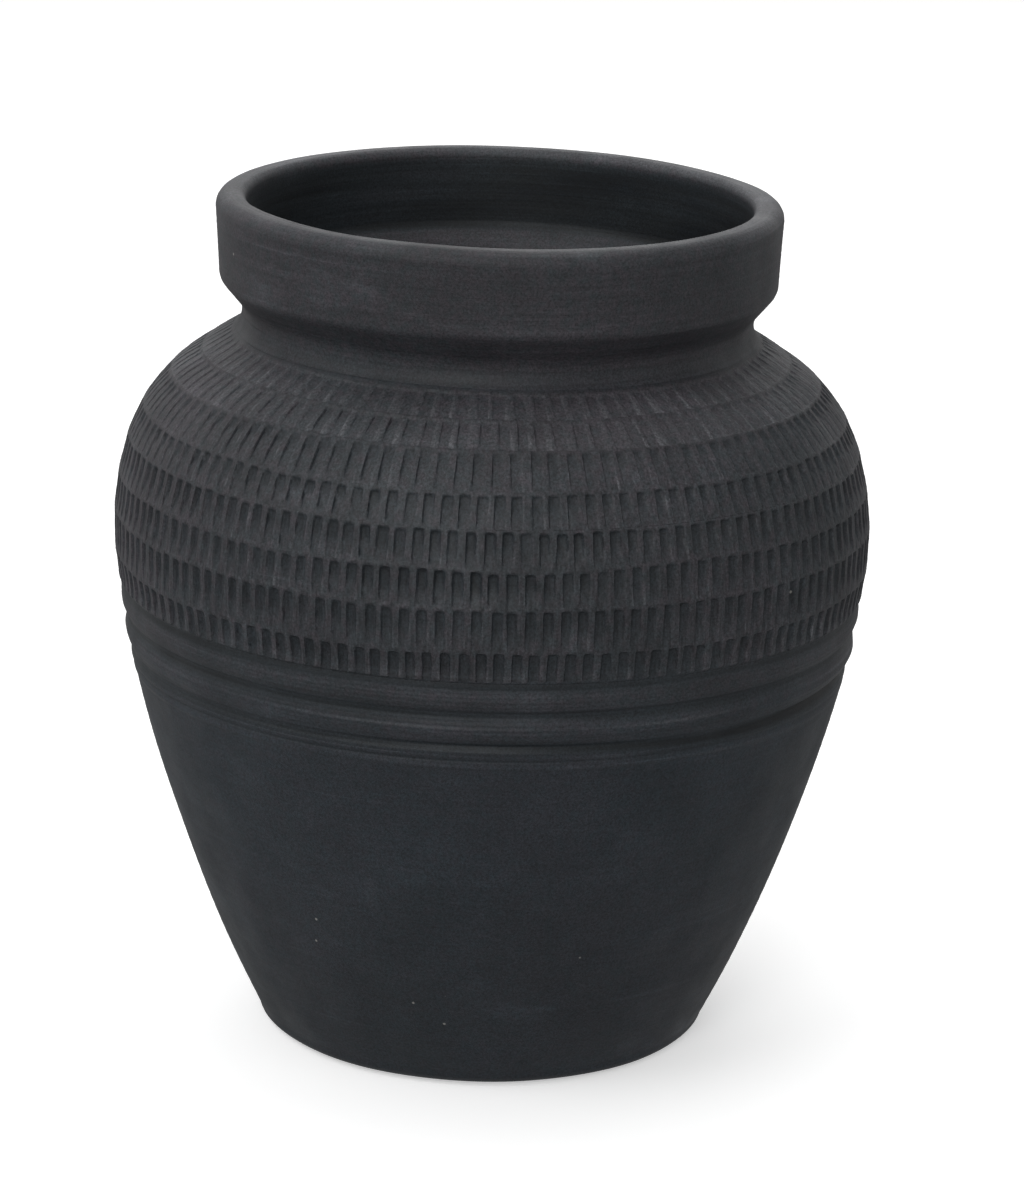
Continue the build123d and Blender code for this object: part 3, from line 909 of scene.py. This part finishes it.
# Stage ---------------------------------------------------------------------------------------------------------
STAGE_HALF, STAGE_DROP = 9, 0.0004
stage_mesh = bpy.data.meshes.new("stage_floor")
stage_mesh.from_pydata(
    [(x * STAGE_HALF, y * STAGE_HALF, 0) for x, y in ((-1, -1), (1, -1), (1, 1), (-1, 1))], [], [(0, 1, 2, 3)]
)
stage_floor = bpy.data.objects.new("stage_floor", stage_mesh)
stage_floor.location.z = -STAGE_DROP
bpy.context.collection.objects.link(stage_floor)
pale = bpy.data.materials.new("stage_pale")
pale.use_nodes = True
pale_surface = pale.node_tree.nodes["Principled BSDF"].inputs
pale_surface["Base Color"].default_value = (0.93, 0.93, 0.93, 1)
pale_surface["Emission Color"].default_value = (1, 1, 1, 1)
pale_surface["Emission Strength"].default_value = 0.42
pale_surface["Roughness"].default_value = 0.95
stage_mesh.materials.append(pale)
stage_floor.visible_diffuse = stage_floor.visible_glossy = False

# A soft pale room: brighter above than below, behind than in front, and dimmer high on the right
world = bpy.data.worlds.new("studio")
bpy.context.scene.world = world
world.use_nodes = True
background = world.node_tree.nodes["Background"].inputs
sky = Nodes(world.node_tree)
way = sky.add("ShaderNodeTexCoord").outputs["Generated"]
to_right, to_back, to_top = sky.add("ShaderNodeSeparateXYZ", way).outputs
ceiling = sky.product(
    sky.remap(to_back, -0.5, 0.5, 0.47, 0.84),
    sky.remap(sky.product(to_right, to_top), 0.05, 0.45, 1.0, 0.47),
)
ground = sky.remap(to_right, -0.8, 0.8, 0.45, 0.35)
above_ground = sky.product(sky.remap(to_top, -0.02, 0.06), sky.maths("SUBTRACT", ceiling, ground))
room = sky.maths("ADD", above_ground, ground)
backdrop = sky.add("ShaderNodeLightPath").outputs["Is Camera Ray"]  # plain white where it is seen directly
sky.feed(background["Strength"], sky.maths("MAXIMUM", room, backdrop))
background["Color"].default_value = (1, 1, 1, 1)


def softbox(name, place, target_z, size, power):
    """A square lamp that faces a point on the pot's axis."""
    lamp = bpy.data.lights.new(name, "AREA")
    lamp.size, lamp.energy = size, power
    made = bpy.data.objects.new(name, lamp)
    made.location = place
    made.rotation_euler = (Vector((0, 0, target_z)) - Vector(place)).to_track_quat("-Z", "Y").to_euler()
    bpy.context.collection.objects.link(made)


softbox("key", (-1.5, -1.4, 2.3), 0.25, 1.2, 13.5)
softbox("front", (-0.6, -3.0, 1.6), 0.25, 1.2, 26)
softbox("top", (0.2, 0.3, 2.8), 0.3, 1.6, 13)
softbox("left", (-2.6, -0.3, 1.5), 0.25, 1.2, 5.5)
softbox("right", (2.6, -1.5, 1.2), 0.25, 1.2, 4.8)
softbox("back", (0.0, 2.6, 1.6), 0.4, 1.6, 7)

# Camera --------------------------------------------------------------------------------------------------------
PITCH, YAW, ROLL = math.radians(15.884), math.radians(0.2747), math.radians(1.576)
EYE = Vector((0.0, -2.2784, 0.8729))
ahead = Vector((math.sin(YAW) * math.cos(PITCH), math.cos(YAW) * math.cos(PITCH), -math.sin(PITCH)))
level = Vector((math.cos(YAW), -math.sin(YAW), 0))
upright = level.cross(ahead)
sideways = level * math.cos(ROLL) + upright * math.sin(ROLL)
upward = upright * math.cos(ROLL) - level * math.sin(ROLL)
pose = Matrix((sideways, upward, -ahead)).transposed().to_4x4()
pose.translation = EYE
camera = bpy.data.objects.new("camera", bpy.data.cameras.new("camera"))
camera.matrix_world = pose
camera.data.sensor_width = 36.0
camera.data.lens = 141.6
camera.data.clip_end = 60
bpy.context.collection.objects.link(camera)
bpy.context.scene.camera = camera
bpy.context.scene.view_settings.view_transform = "Standard"

bpy.context.view_layer.update()
